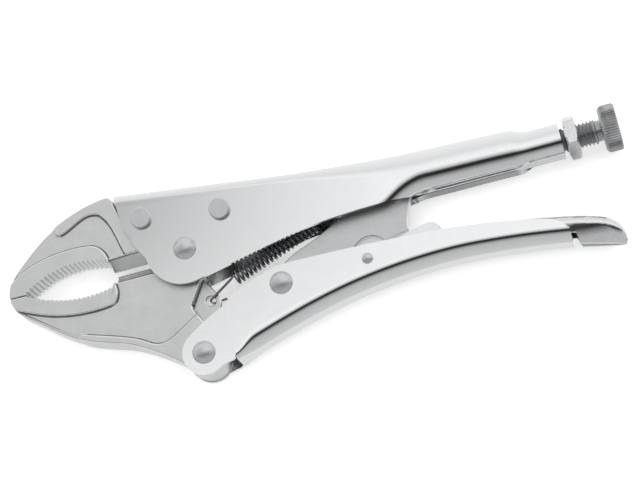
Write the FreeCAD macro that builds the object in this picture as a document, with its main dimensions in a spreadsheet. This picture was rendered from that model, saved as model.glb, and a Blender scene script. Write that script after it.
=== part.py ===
import FreeCAD, Part
import math
import os

import Sketcher

# Locking pliers, 250 mm class, lying on one side in the clamped position.
# Model frame while building: origin on the jaw pivot in the middle plane of the tool,
# +X along the adjusting screw towards the knob, +Y towards the back of the upper handle,
# +Z across the tool's thickness.  Every hinge axis is parallel to Z.

V = FreeCAD.Vector
doc = FreeCAD.newDocument("locking_pliers")

SIZES = {
    # linkage: jaw pivot is the origin
    "handle_pivot_x": -1.8, "handle_pivot_y": -42.5,
    "link_pivot_x": 33.9, "link_pivot_y": -23.5,
    "lever_pivot_x": 68.9, "lever_pivot_y": -23.0,
    "link_nose_x": 88.5, "link_nose_y": 4.5,
    "screw_axis_y": 5.0,
    # pressed handles
    "handle_width": 20.0, "sheet_gauge": 2.0,
    "front_x": -23.4, "front_back_y": 28.9, "front_bend": 4.0, "cheek_nose": 15.0,
    "taper_end_x": 45.0, "taper_back_y": 19.3, "curl_start_x": 84.0,
    "tube_back_y": 16.1, "tube_end_back_y": 14.4, "tube_width": 19.4, "tube_end_width": 18.4,
    "lower_bend": 5.5, "lower_end_x": 146.0,
    "anchor_x": 60.0, "anchor_width": 5.0, "anchor_hole_y": 1.9, "anchor_hole": 1.2,
    "tail_end_x": 153.2, "tail_start_x": "=tail_end_x - 13.5", "tail_radius": 7.2,
    "tail_seam": 0.4,
    "tube_start_x": 95.0, "tube_end_x": "=tail_start_x - 5", "tube_bend": 9.7, "tube_slot": 8.5,
    # forged jaws
    "jaw_thickness": 14.6, "panel_thickness": 11.6,
    "jaw_hub_radius": 11.0, "ear_hub_radius": 8.3, "lug_thickness": 4.5, "lug_hole": 3.8,
    "tooth_pitch": 1.75, "tooth_depth": 0.8,
    # fasteners
    "pivot_shank": 3.2, "pivot_head": 4.6, "dome_height": 2.7,
    "flat_shank": 3.0, "flat_head": 4.15, "flat_height": 2.4,
    "lever_shank": 1.6, "lever_head": 2.25, "lever_dome": 1.2,
    # toggle link and release lever
    "link_thickness": 5.2, "link_hub": 6.2, "nose_radius": 4.0,
    "lever_gauge": 1.6, "lever_hub": 5.2, "lever_bend": 4.0,
    # adjusting screw, knob and lock nut
    "screw_radius": 5.0, "thread_end_x": "=tail_end_x + 14", "neck_radius": 4.2, "spigot_radius": 3.0,
    "knob_start_x": "=thread_end_x + 2", "knob_length": 7.0, "knob_radius": 9.4, "knob_chamfer": 1.3,
    "nut_start_x": "=tail_end_x + 1.7", "nut_length": 5.0, "nut_flats": 16.0,
    # spring
    "coil_radius": 3.25, "wire_radius": 0.55,
    # clearances
    "side_play": 0.2, "pin_play": 0.05, "hub_play": 0.6, "thread_play": 0.08,
    "nose_gap": 2.6, "face_play": 0.1,
}

sheet = doc.addObject("Spreadsheet::Sheet", "sizes")
for row, (alias, number) in enumerate(SIZES.items(), start=1):
    sheet.set("A%d" % row, alias.replace("_", " "))
    sheet.set("B%d" % row, str(number))
    sheet.setAlias("B%d" % row, alias)
doc.recompute()


class Size:
    """A length that carries its number and the sheet expression it comes from."""

    def __init__(self, number, text):
        self.number = float(number)
        self.text = text

    @staticmethod
    def of(other):
        return other if isinstance(other, Size) else Size(other, repr(float(other)))

    def __add__(self, other):
        other = Size.of(other)
        return Size(self.number + other.number, "(%s + %s)" % (self.text, other.text))

    def __sub__(self, other):
        other = Size.of(other)
        return Size(self.number - other.number, "(%s - %s)" % (self.text, other.text))

    def __mul__(self, factor):
        return Size(self.number * factor, "(%s * %r)" % (self.text, float(factor)))

    def __neg__(self):
        return self * -1.0

    def __float__(self):
        return self.number


def size(alias):
    """The named size, read from the sheet."""
    return Size(sheet.get(alias), "sizes." + alias)


def number(alias):
    """The named size as a plain number."""
    return float(sheet.get(alias))


def point(prefix):
    """A named place of the linkage in the middle plane."""
    return V(number(prefix + "_x"), number(prefix + "_y"), 0)


JAW_PIVOT = V(0, 0, 0)
HANDLE_PIVOT = point("handle_pivot")
LINK_PIVOT = point("link_pivot")
LEVER_PIVOT = point("lever_pivot")
LINK_NOSE = point("link_nose")

inner_width = size("handle_width") - size("sheet_gauge") * 2
play_width = inner_width - size("side_play") * 2


# ---------------------------------------------------------------- drawing helpers
def new_body(label):
    body = doc.addObject("PartDesign::Body", label)
    body.Label = label
    return body


def new_sketch(body, role="XY_Plane", offset=None):
    """An empty sketch on one of the body's own origin planes."""
    sketch = body.newObject("Sketcher::SketchObject", "outline")
    plane = [f for f in body.Origin.OriginFeatures if f.Role == role][0]
    sketch.AttachmentSupport = [(plane, "")]
    sketch.MapMode = "FlatFace"
    if offset is not None:
        sketch.setExpression(".AttachmentOffset.Base.z", offset.text)
    return sketch


def flat(place):
    return V(float(place[0]), float(place[1]), 0)


def draw(sketch, start, *steps):
    """A closed outline: ("line", end), ("arc", middle, end) or ("curve", p1, p2, ...)."""
    here = flat(start)
    for kind, *places in steps:
        ends = [flat(place) for place in places]
        if kind == "line":
            sketch.addGeometry(Part.LineSegment(here, ends[0]), False)
        elif kind == "arc":
            sketch.addGeometry(Part.Arc(here, ends[0], ends[1]), False)
        else:
            curve = Part.BSplineCurve()
            curve.interpolate([here] + ends)
            sketch.addGeometry(curve, False)
        here = ends[-1]
    if (here - flat(start)).Length > 1e-6:
        sketch.addGeometry(Part.LineSegment(here, flat(start)), False)
    return sketch


def draw_circle(sketch, centre, radius):
    """A circle held at a fixed place, with its radius bound to the sheet."""
    index = sketch.addGeometry(Part.Circle(flat(centre), V(0, 0, 1), float(radius)), False)
    sketch.addConstraint(Sketcher.Constraint("DistanceX", -1, 1, index, 3, centre[0]))
    sketch.addConstraint(Sketcher.Constraint("DistanceY", -1, 1, index, 3, centre[1]))
    held = sketch.addConstraint(Sketcher.Constraint("Radius", index, float(radius)))
    sketch.setExpression("Constraints[%d]" % held, radius.text)
    return sketch


def draw_profile(sketch, places, domes=()):
    """A closed half profile with every corner bound to the sheet.

    places holds (along the sketch's x, along its y) pairs of sizes.  The run that leaves
    corner i is a spherical cap centred on the sketch's y axis where domes holds i.
    """
    corners = [(Size.of(a), Size.of(b)) for a, b in places]
    count = len(corners)
    for i, corner in enumerate(corners):
        start, end = flat(corner), flat(corners[(i + 1) % count])
        if i in domes:
            sketch.addGeometry(Part.Arc(start, cap_middle(start, end), end), False)
        else:
            sketch.addGeometry(Part.LineSegment(start, end), False)
    for i, corner in enumerate(corners):
        vertex = end_at(sketch, i, corner)
        before = (i - 1) % count
        sketch.addConstraint(Sketcher.Constraint(
            "Coincident", i, vertex, before, end_at(sketch, before, corner)))
        for axis, kind, line in ((0, "DistanceX", -2), (1, "DistanceY", -1)):
            if corner[axis].number == 0.0:
                sketch.addConstraint(Sketcher.Constraint("PointOnObject", i, vertex, line))
                continue
            held = sketch.addConstraint(Sketcher.Constraint(
                kind, -1, 1, i, vertex, corner[axis].number))
            sketch.setExpression("Constraints[%d]" % held, corner[axis].text)
    for i in domes:
        sketch.addConstraint(Sketcher.Constraint("PointOnObject", i, 3, -2))
    return sketch


def end_at(sketch, index, corner):
    """Which end of a run lies on the corner: 1 or 2 (an arc may be stored either way)."""
    return 1 if (sketch.getPoint(index, 1) - flat(corner)).Length < 1e-6 else 2


def cap_middle(start, end):
    """The middle point of a spherical cap between its rim and its pole on the y axis."""
    rim, pole = (start, end) if abs(end.x) < 1e-9 else (end, start)
    rise = pole.y - rim.y
    radius = (rim.x ** 2 + rise ** 2) / (2 * rise)
    centre = V(0, pole.y - radius, 0)
    chord = (rim + pole) * 0.5 - centre
    return centre + chord * (abs(radius) / chord.Length)


def pad(body, sketch, length, symmetric=True):
    """A pad of the sketch, centred on its plane unless told otherwise."""
    feature = body.newObject("PartDesign::Pad", "pad")
    feature.Profile = sketch
    feature.Midplane = symmetric
    feature.setExpression("Length", Size.of(length).text)
    sketch.Visibility = False
    return feature


def pocket(body, sketch, length):
    """A pocket cut the same way on both sides of the sketch's plane."""
    feature = body.newObject("PartDesign::Pocket", "pocket")
    feature.Profile = sketch
    feature.Midplane = True
    feature.setExpression("Length", Size.of(length).text)
    return feature


def turn(body, sketch, axis="V_Axis"):
    """A full turn of a half profile about one axis of its sketch."""
    feature = body.newObject("PartDesign::Revolution", "turning")
    feature.Profile = sketch
    feature.ReferenceAxis = (sketch, [axis])
    feature.Angle = 360.0
    return feature


def through_hole(body, centre, radius):
    """A round hole across the whole tool, along Z."""
    return pocket(body, draw_circle(new_sketch(body), (centre.x, centre.y), radius),
                  size("handle_width") * 2)


def fillet_edges(body, feature, radius, wanted):
    """Round every edge of the feature that the test accepts."""
    doc.recompute()
    names = ["Edge%d" % (i + 1) for i, edge in enumerate(feature.Shape.Edges) if wanted(edge)]
    rounding = body.newObject("PartDesign::Fillet", "rounding")
    rounding.Base = (feature, names)
    rounding.setExpression("Radius", Size.of(radius).text)
    return rounding


# ---------------------------------------------------------------- upper handle
def channel_section(x, top, bottom, width, upper_bend, lower_bend):
    """A rounded rectangle in the plane of constant x: four runs and four bends."""
    half = width / 2
    upper = min(upper_bend, half - 0.2)
    lower = min(lower_bend, half - 0.2)
    slant = math.sqrt(0.5)
    points = []
    for side, level, bend, up in ((1, top, upper, 1), (-1, top, upper, 1),
                                  (-1, bottom, lower, -1), (1, bottom, lower, -1)):
        centre = V(x, level - up * bend, side * (half - bend))
        wall = centre + V(0, 0, side * bend)
        edge = centre + V(0, up * bend, 0)
        middle = centre + V(0, up * bend * slant, side * bend * slant)
        points.append((wall, middle, edge) if side * up > 0 else (edge, middle, wall))
    edges = []
    for i, (first, middle, last) in enumerate(points):
        edges.append(Part.Arc(first, middle, last).toShape())
        edges.append(Part.LineSegment(last, points[(i + 1) % 4][0]).toShape())
    return Part.Wire(edges)


def handle_stations():
    """(x, top, bottom, width, upper bend, lower bend) along the upper handle."""
    front_x, taper_x = number("front_x"), number("taper_end_x")
    curl_x, tube_x = number("curl_start_x"), number("tube_start_x")
    end_x, tail_x = number("tube_end_x"), number("tail_start_x")
    front_y, taper_y = number("front_back_y"), number("taper_back_y")
    tube_y, end_y = number("tube_back_y"), number("tube_end_back_y")
    width, bend, tube_bend = number("handle_width"), number("front_bend"), number("tube_bend")
    axis_y, tail = number("screw_axis_y"), number("tail_radius")
    slope = (taper_y - front_y) / (taper_x - front_x)
    tube_slope = (end_y - tube_y) / (end_x - tube_x)
    open_bottom = -number("cheek_nose") - 3
    stations = [(front_x - 2, front_y - 2 * slope, open_bottom, width, bend, bend),
                (taper_x, taper_y, open_bottom, width, bend, bend)]
    span = tube_x - taper_x
    for x in (taper_x + 0.25 * span, taper_x + 0.5 * span, curl_x):
        t = (x - taper_x) / span
        top = hermite(t, taper_y, slope * span, tube_y, tube_slope * span)
        eased = t * t * (3 - 2 * t)
        level = open_bottom if x < curl_x else tube_y - width - 7
        stations.append((x, top, level, width, bend + (tube_bend - bend) * eased,
                         bend if x < curl_x else tube_bend * 0.8))
    stations.append((tube_x, tube_y, tube_y - number("tube_width"), number("tube_width"),
                     tube_bend, tube_bend))
    stations.append((end_x, end_y, end_y - number("tube_end_width"),
                     number("tube_end_width"), tube_bend, tube_bend))
    for x in (tail_x, number("tail_end_x")):
        stations.append((x, axis_y + tail, axis_y - tail, 2 * tail, tail, tail))
    return stations


def hermite(t, start, start_slope, end, end_slope):
    """The cubic that meets both ends with the given slopes, at t from 0 to 1."""
    return ((2 * t ** 3 - 3 * t ** 2 + 1) * start + (t ** 3 - 2 * t ** 2 + t) * start_slope
            + (3 * t ** 2 - 2 * t ** 3) * end + (t ** 3 - t ** 2) * end_slope)


def cheek_outline():
    """The side view that the pressed blank is trimmed to, as a face in the middle plane."""
    front_x, front_y = number("front_x"), number("front_back_y")
    nose, tube_x, tail_x = number("cheek_nose"), number("tube_start_x"), number("tail_end_x")
    above, below = V(front_x, front_y + 6, 0), -number("tube_width")
    front = Part.BSplineCurve()
    front.interpolate([V(front_x, front_y, 0), V(front_x + 0.9, 18, 0), V(front_x + 3.8, 7, 0),
                       V(-1 - nose * 0.995, 0, 0)])
    nose_end = V(-1 - nose * 0.1, 1 - nose * 0.995, 0)
    sweep = Part.Arc(front.EndPoint, V(-1 - nose * 0.69, 1 - nose * 0.72, 0), nose_end)
    lower = Part.BSplineCurve()
    lower.interpolate([V(46, -4.9, 0), V(58, -3.6, 0), V(70, -3.0, 0), V(84, -2.6, 0)])
    corners = [V(84, -2.6, 0), V(tube_x, -2.6, 0), V(tube_x, below, 0), V(tail_x, below, 0),
               V(tail_x, above.y, 0), above, V(front_x, front_y, 0)]
    edges = [front.toShape(), sweep.toShape(), Part.LineSegment(nose_end, V(46, -4.9, 0)).toShape(),
             lower.toShape()]
    edges += [Part.LineSegment(a, b).toShape() for a, b in zip(corners, corners[1:])]
    return Part.Face(Part.Wire(edges))


def back_level(x):
    """The height of the upper handle's outer back in the straight taper at the front."""
    front_x, front_y = number("front_x"), number("front_back_y")
    taper_x, taper_y = number("taper_end_x"), number("taper_back_y")
    return front_y + (taper_y - front_y) * (x - front_x) / (taper_x - front_x)


def make_upper_handle():
    """One pressing: a channel at the front, curled to an open tube, swaged to a tail."""
    gauge, width = number("sheet_gauge"), number("handle_width")
    stations = handle_stations()
    outer = Part.makeLoft([channel_section(*s) for s in stations], True, True)
    hollow = [(x, top - gauge, bottom + gauge, wide - 2 * gauge, up - gauge, low - gauge)
              for x, top, bottom, wide, up, low in stations[:-1]]
    inner = Part.makeLoft([channel_section(*s) for s in hollow], True, True)
    shape = outer.cut(inner)
    trim = cheek_outline()
    trim.translate(V(0, 0, -width))
    shape = shape.common(trim.extrude(V(0, 0, 2 * width)))
    axis_y, tail_x, tail_end = number("screw_axis_y"), number("tail_start_x"), number("tail_end_x")
    bore = Part.makeCylinder(number("screw_radius") + number("thread_play"),
                             tail_end - tail_x + 4, V(tail_x - 2, axis_y, 0), V(1, 0, 0))
    half_slot, half_seam = number("tube_slot") / 2, number("tail_seam") / 2
    curl_x, tube_end = number("curl_start_x"), number("tube_end_x")
    slot_line = [V(curl_x, 0, half_slot), V(tube_end, 0, half_slot), V(tail_x, 0, half_seam),
                 V(tail_end + 1, 0, half_seam), V(tail_end + 1, 0, -half_seam),
                 V(tail_x, 0, -half_seam), V(tube_end, 0, -half_slot), V(curl_x, 0, -half_slot)]
    slot = Part.Face(Part.makePolygon(slot_line + slot_line[:1]))
    slot.translate(V(0, axis_y, 0))
    shape = shape.cut([bore, slot.extrude(V(0, -2 * width, 0))])
    shape = shape.cut([rivet_bore(place, radius) for place, radius in
                       ((JAW_PIVOT, "pivot_shank"), (FRONT_RIVET, "flat_shank"),
                        (REAR_RIVET, "flat_shank"))])
    return add_anchor(shape, gauge)


def rivet_bore(place, radius):
    width = number("handle_width")
    return Part.makeCylinder(number(radius), 2 * width, place - V(0, 0, width))


def add_anchor(shape, gauge):
    """The spring's anchor: a tab lanced out of the back and bent down into the channel."""
    x, wide, hole_y = number("anchor_x"), number("anchor_width"), number("anchor_hole_y")
    foot = hole_y - 3
    top = number("tube_back_y") + 4
    length = top - foot - 3
    window = Part.makeBox(length, 8, wide, V(x + gauge, top - 8, -wide / 2))
    tab = Part.makeBox(gauge, top - 3.5 - foot, wide, V(x, foot, -wide / 2))
    hole = Part.makeCylinder(number("anchor_hole"), 3 * gauge, V(x - gauge, hole_y, 0), V(1, 0, 0))
    return shape.cut(window).fuse(tab).cut(hole).removeSplitter()


FRONT_RIVET = V(-14.3, 16.3, 0)
REAR_RIVET = V(16.9, 11.7, 0)


# ---------------------------------------------------------------- forged jaws
def make_upper_jaw():
    """The fixed jaw: teeth, recessed panel inside a raised rim, cutter and root."""
    body = new_body("upper_jaw")
    reach = number("jaw_hub_radius") + number("hub_play")
    rest = number("sheet_gauge") + 2.2
    pad(body, draw(new_sketch(body), (-73.1, -0.9),
                   ("curve", (-72.4, 2.8), (-69.8, 7.3), (-63.8, 13.1), (-54.8, 19.9),
                    (-39.8, 26.8), (-27.8, 29.3)),
                   ("arc", (-25.2, 28.6), (-24.3, 26.2)), ("line", (-20.5, 10.0)),
                   ("line", (-17.2, 4.6)), ("line", (-31.0, 4.6)), ("line", UPPER_BITE[2]),
                   ("arc", UPPER_BITE[1], UPPER_BITE[0])), size("jaw_thickness"))
    recess(body, (-30.9, 2.0), ("curve", (-31.4, 6.0), (-33.2, 9.4), (-37.7, 11.9)),
           ("curve", (-44.7, 12.5), (-51.7, 12.1), (-57.7, 11.1), (-63.7, 9.2), (-72.0, 4.6)),
           ("line", (-80.0, 8.0)), ("line", (-80.0, 36.0)), ("line", (-50.6, 36.0)),
           ("line", (-49.8, 19.8)), ("line", (-48.4, 19.0)),
           ("curve", (-41.5, 21.7), (-34.8, 24.0), (-31.2, 23.2)),
           ("curve", (-28.0, 18.6), (-25.9, 12.0), (-23.8, 4.0)), ("line", (-23.4, 2.0)))
    left, right = -math.sqrt(reach ** 2 - 4.7 ** 2), math.sqrt(reach ** 2 - 2.0 ** 2)
    pad(body, draw(new_sketch(body), (-21.0, back_level(-21) - rest),
                   ("line", (22.5, back_level(22.5) - rest)), ("line", (23.5, 2.0)),
                   ("line", (right, 2.0)), ("arc", (0, reach), (left, 4.7)),
                   ("line", (-16.6, 4.7)), ("line", (-18.2, 9.0))), inner_width)
    cutter = draw(new_sketch(body, "YZ_Plane", Size.of(-22.5)), (5.0, -5.6), ("line", (5.0, 5.6)),
                  ("line", (2.8, 3.0)), ("line", (0.1, 0.15)), ("line", (0.1, -0.15)),
                  ("line", (2.8, -3.0)))
    pad(body, cutter, 17.0)
    cut_teeth(body, UPPER_BITE, 1)
    through_hole(body, FRONT_RIVET, size("flat_shank"))
    through_hole(body, REAR_RIVET, size("flat_shank"))
    return body


# The curved biting faces: tip end, middle and heel of each.
UPPER_BITE = ((-66.2, -0.9), (-47.5, 5.9), (-31.4, 3.8))
LOWER_BITE = ((-66.2, -1.3), (-47.0, -7.6), (-31.4, -6.6))


def recess(body, start, *steps):
    """Sink a panel of this outline into both flat sides of a jaw."""
    face = size("jaw_thickness") * 0.5
    sunk = body.newObject("PartDesign::Pocket", "recess")
    sunk.Profile = draw(new_sketch(body, offset=face), start, *steps)
    sunk.setExpression("Length", (face - size("panel_thickness") * 0.5).text)
    return mirrored(body, sunk)


def mirrored(body, feature):
    """The same feature again on the far side of the middle plane."""
    mirror = body.newObject("PartDesign::Mirrored", "far_side")
    mirror.Originals = [feature]
    plane = [f for f in body.Origin.OriginFeatures if f.Role == "XY_Plane"][0]
    mirror.MirrorPlane = (plane, [""])
    body.Tip = mirror
    return mirror


def circle_through(a, b, c):
    """Centre and radius of the circle through three points of the middle plane."""
    circle = Part.Circle(flat(a), flat(b), flat(c))
    return circle.Center, circle.Radius


def cut_teeth(body, bite, up):
    """V grooves across the jaw, evenly spaced along the curved biting face.

    up is 1 where the metal lies above the face and -1 where it lies below.
    """
    tip_end, middle, heel_end = bite
    centre, radius = circle_through(tip_end, middle, heel_end)
    pitch, depth = number("tooth_pitch"), number("tooth_depth")
    start = math.atan2(tip_end[1] - centre.y, tip_end[0] - centre.x)
    end = math.atan2(heel_end[1] - centre.y, heel_end[0] - centre.x)
    span = (end - start + math.pi) % (2 * math.pi) - math.pi
    count = int(abs(span) * radius / pitch)
    turn_by = span / count
    sketch = new_sketch(body)
    for i in range(count):
        angle = start + turn_by * (i + 0.5)
        groove = []
        for offset, level in ((-0.42, -0.25), (0.42, -0.25), (0, depth)):
            spot = angle + turn_by * offset
            reach = radius + level * (1 if math.sin(angle) * up > 0 else -1)
            groove.append((centre.x + reach * math.cos(spot), centre.y + reach * math.sin(spot)))
        draw(sketch, groove[0], ("line", groove[1]), ("line", groove[2]))
    return pocket(body, sketch, size("jaw_thickness") * 2)


def make_lower_jaw():
    """The moving jaw: teeth, recessed panel, cutter, two hubs and the spring lug."""
    body = new_body("lower_jaw")
    hub, ear = number("jaw_hub_radius"), number("ear_hub_radius")
    px, py = HANDLE_PIVOT.x, HANDLE_PIVOT.y
    pad(body, draw(new_sketch(body), (-73.1, -1.0), ("line", LOWER_BITE[0]),
                   ("arc", LOWER_BITE[1], LOWER_BITE[2]), ("line", (-31.0, -5.3)),
                   ("line", (-hub * 0.8, -5.3)), ("line", (0, 0)),
                   ("line", (hub * 0.5, -hub * 0.7)),
                   ("line", (2.7, -13.3)), ("line", (-2.8, -21.8)), ("line", (-2.8, -23.8)),
                   ("line", (1.0, -30.8)), ("line", (px + ear * 0.8, py + ear * 0.2)),
                   ("line", (px - ear * 0.8, py - ear * 0.46)),
                   ("curve", (-14.8, -40.8), (-21.8, -35.8), (-29.8, -31.3), (-41.8, -27.2),
                    (-49.8, -23.5), (-57.8, -18.0), (-65.8, -11.5), (-71.3, -6.5),
                    (-73.1, -1.0))), size("jaw_thickness"))
    recess(body, (-30.2, 0.0), ("line", (-30.2, -7.0)), ("curve", (-30.6, -11.0), (-32.4, -13.6)),
           ("curve", (-38.0, -14.2), (-45.0, -14.1), (-55.0, -12.6), (-66.0, -8.6), (-72.0, -5.6)),
           ("line", (-84.0, -8.0)), ("line", (-84.0, -36.0)), ("line", (-50.8, -36.0)),
           ("line", (-49.2, -22.9)), ("line", (-47.8, -22.2)),
           ("curve", (-40.0, -24.8), (-32.0, -27.5), (-24.0, -31.2), (-19.4, -33.7),
            (-16.6, -33.9), (-12.8, -32.7), (-7.8, -29.9)),
           ("line", (-1.4, -26.2)), ("line", (5.0, -26.2)), ("line", (5.0, 0.0)))
    pad(body, draw_circle(new_sketch(body), (0, 0), size("jaw_hub_radius")), play_width)
    pad(body, draw_circle(new_sketch(body), (px, py), size("ear_hub_radius")), play_width)
    pad(body, draw(new_sketch(body), (-1.0, -12.0), ("line", (3.2, -11.6)), ("line", (7.4, -19.0)),
                   ("arc", (8.3, -23.4), (5.9, -26.7)), ("line", (0.8, -31.5)),
                   ("line", (-4.0, -30.0))), size("lug_thickness"))
    cutter = draw(new_sketch(body, "YZ_Plane", Size.of(-22.0)), (-5.6, -5.6),
                  ("line", (-5.6, 5.6)), ("line", (-3.9, 3.0)), ("line", (-1.9, 0.15)),
                  ("line", (-1.9, -0.15)), ("line", (-3.9, -3.0)))
    pad(body, cutter, 16.0)
    cut_teeth(body, LOWER_BITE, -1)
    through_hole(body, JAW_PIVOT, size("pivot_shank") + size("pin_play"))
    through_hole(body, HANDLE_PIVOT, size("pivot_shank") + size("pin_play"))
    through_hole(body, LUG_HOLE, size("lug_hole") * 0.5)
    return body


LUG_HOLE = V(4.3, -21.5, 0)


# ---------------------------------------------------------------- lower handle
BACK_LINE = [(4.0, -50.2), (13.2, -47.2), (29.2, -42.2), (44.2, -38.1), (59.2, -34.9),
             (74.2, -32.8), (89.2, -31.7), (104.2, -31.6), (119.2, -32.7), (134.2, -34.5),
             (152.0, -37.4)]


def make_lower_handle():
    """One pressing: an open channel with rounded back corners and two flat ears in front."""
    body = new_body("lower_handle")
    gauge, wide = number("sheet_gauge"), size("handle_width")
    back_x = 11.6
    slab = pad(body, draw(new_sketch(body), BACK_LINE[0], ("curve", *BACK_LINE[1:]),
                          ("line", (BACK_LINE[-1][0], -10)), ("line", (BACK_LINE[0][0], -10))),
               wide)
    fillet_edges(body, slab, size("lower_bend"), on_back)
    raised = [(x, y + gauge) for x, y in BACK_LINE]
    raised[0], raised[-1] = (raised[0][0] - 3, raised[0][1] - 1), (raised[-1][0] + 4, raised[-1][1])
    inner = pocket(body, draw(new_sketch(body), raised[0], ("curve", *raised[1:]),
                              ("line", (raised[-1][0], 0)), ("line", (raised[0][0], 0))),
                   inner_width)
    end_x = number("lower_end_x")
    top = [(34.6, -16.5), (50.0, -16.6), (65.6, -17.2), (80.6, -18.0), (95.6, -19.0),
           (110.6, -20.6), (125.6, -23.0), (140.6, -26.3)]
    trim = draw(new_sketch(body), (-20, -70), ("line", (170, -70)), ("line", (170, 0)),
                ("line", (-20, 0)))
    draw(trim, (back_x, -60), ("line", (end_x - 0.4, -60)), ("line", (end_x + 1.8, -37.8)),
         ("curve", (end_x + 2.4, -35.5), (end_x + 1.4, -32.0), (end_x - 1.2, -28.6),
          (end_x - 5.4, -26.3)), ("curve", *reversed(top[:-1])),
         ("line", (back_x, -25.0)))
    pocket(body, trim, wide * 2)
    ears = draw_ear(new_sketch(body, offset=inner_width * 0.5), gauge)
    mirrored(body, pad(body, ears, size("sheet_gauge"), symmetric=False))
    through_hole(body, HANDLE_PIVOT, size("pivot_shank"))
    through_hole(body, LINK_PIVOT, size("pivot_shank"))
    through_hole(body, LEVER_PIVOT, size("lever_shank"))
    return body


def on_back(edge):
    """The two long lower corners of the slab, along the curved back."""
    box = edge.BoundBox
    return box.XLength > 100 and box.YMax < -20


def draw_ear(sketch, gauge):
    """The flat front of a cheek: round about the handle pivot, sloping up to the top edge."""
    x, y = HANDLE_PIVOT.x, HANDLE_PIVOT.y
    ear = number("ear_hub_radius") + 0.4
    return draw(sketch, (x + ear * 0.42, y - ear * 0.907), ("arc", (x - ear * 0.95, y - ear * 0.31),
                                                           (x - ear * 0.545, y + ear * 0.84)),
                ("line", (13.0, -24.3)), ("curve", (19.6, -20.6), (26.6, -18.2), (34.6, -16.5)),
                ("line", (34.6, -35.8)), ("line", (22.0, -40.2)), ("curve", (14.0, -44.3), (9.4, -47.6)),
                ("arc", (7.4, -48.0), (5.4, -47.6)))


# ---------------------------------------------------------------- toggle link and lever
def make_toggle_link():
    """A flat forged link: wide hub on the lower handle, round nose in the upper channel."""
    body = new_body("toggle_link")
    hub, nose = number("link_hub"), number("nose_radius")
    px, py = LINK_PIVOT.x, LINK_PIVOT.y
    nx, ny = LINK_NOSE.x, LINK_NOSE.y
    pad(body, draw(new_sketch(body), (px - hub * 0.4, py + hub * 0.7),
                   ("curve", (36.0, -14.4), (45.0, -10.0), (54.3, -6.0)),
                   ("line", (nx - nose * 0.45, ny + nose * 0.893)),
                   ("arc", (nx + nose * 0.643, ny + nose * 0.766), (nx + nose * 0.966, ny - nose * 0.26)),
                   ("curve", (89.9, -3.0), (87.7, -8.4), (86.9, -14.3)),
                   ("line", (76.4, -16.0)), ("arc", (70.6, -12.6), (64.8, -15.2)),
                   ("line", (px + hub * 0.6, py - hub * 0.6)), ("line", (px, py))),
        size("link_thickness"))
    pad(body, draw_circle(new_sketch(body), (px, py), size("link_hub")), play_width)
    through_hole(body, LINK_PIVOT, size("pivot_shank") + size("pin_play"))
    return body


def make_release_lever():
    """A pressed channel, open below: hub, ramp under the link, and the tail behind."""
    body = new_body("release_lever")
    hub, gauge = number("lever_hub"), number("lever_gauge")
    px, py = LEVER_PIVOT.x, LEVER_PIVOT.y
    tail_top = [(86, -18.1), (99.8, -18.9), (110, -19.9), (120, -21.0), (130, -22.4), (140, -24.1),
                (150, -26.2), (158, -28.4), (163.5, -30.8), (166.8, -34.0), (168.4, -38.0)]
    tail = pad(body, draw(new_sketch(body), tail_top[0], ("curve", *tail_top[1:]),
                          ("line", (167.9, -41.9)), ("line", (150.6, -37.6)),
                          ("line", (149.4, -33.3)),
                          ("curve", (140, -31.1), (120, -28.0), (100, -26.0), (86, -25.5))),
               play_width)
    fillet_edges(body, tail, size("lever_bend"), on_tail_top)
    pad(body, draw(new_sketch(body), (px + hub * 0.2, py + hub * 0.98),
                   ("line", (77.0, -17.7)), ("curve", (88.4, -16.0), (94.0, -14.9), (96.8, -14.9)),
                   ("curve", (98.4, -16.2), (99.9, -19.6)), ("line", (99.9, -22.5)),
                   ("line", (86.0, -25.5)), ("line", (px + hub * 0.5, py - hub * 0.866)),
                   ("arc", (px - hub * 0.966, py - hub * 0.26),
                    (px + hub * 0.2, py + hub * 0.98))), play_width)
    inside = [(x, y - gauge) for x, y in tail_top[1:-3]]
    pocket(body, draw(new_sketch(body), (70.5, -17.0), ("line", (77.2, -19.4)),
                      ("line", (94.0, -16.7)), ("line", (97.0, -17.0)), ("line", inside[0]),
                      ("curve", *inside[1:], (162.4, -32.2), (165.2, -35.0), (166.8, -39.0)),
                      ("line", (176, -50)), ("line", (50, -50)), ("line", (50, -17.0))),
           play_width - size("lever_gauge") * 2)
    through_hole(body, LEVER_PIVOT, size("lever_shank") + size("pin_play"))
    return body


def on_tail_top(edge):
    """The two long upper corners of the lever's tail."""
    box = edge.BoundBox
    return box.XLength > 70 and box.YMax > -20 and box.ZLength < 0.01


# ---------------------------------------------------------------- rivets
def make_domed_rivet(label, place, shank, head, dome):
    """A through rivet with a domed head against each outer cheek."""
    body = new_body(label)
    half, none = size("handle_width") * 0.5, Size.of(0)
    draw_profile(new_sketch(body, "XZ_Plane"),
                 [(none, -half - dome), (head, -half), (shank, -half),
                  (shank, half), (head, half), (none, half + dome)], domes=(0, 4))
    turn(body, body.Group[0])
    body.Placement.Base = place
    return body


def make_flat_rivet(label, place):
    """A through rivet with a flat turned head against each outer cheek."""
    body = new_body(label)
    half, none = size("handle_width") * 0.5, Size.of(0)
    shank, head, top = size("flat_shank"), size("flat_head"), half + size("flat_height")
    edge = 0.35
    draw_profile(new_sketch(body, "XZ_Plane"),
                 [(none, -top), (head - edge, -top), (head, -top + edge), (head, -half),
                  (shank, -half), (shank, half), (head, half), (head, top - edge),
                  (head - edge, top), (none, top)])
    turn(body, body.Group[0])
    body.Placement.Base = place
    return body


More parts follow.
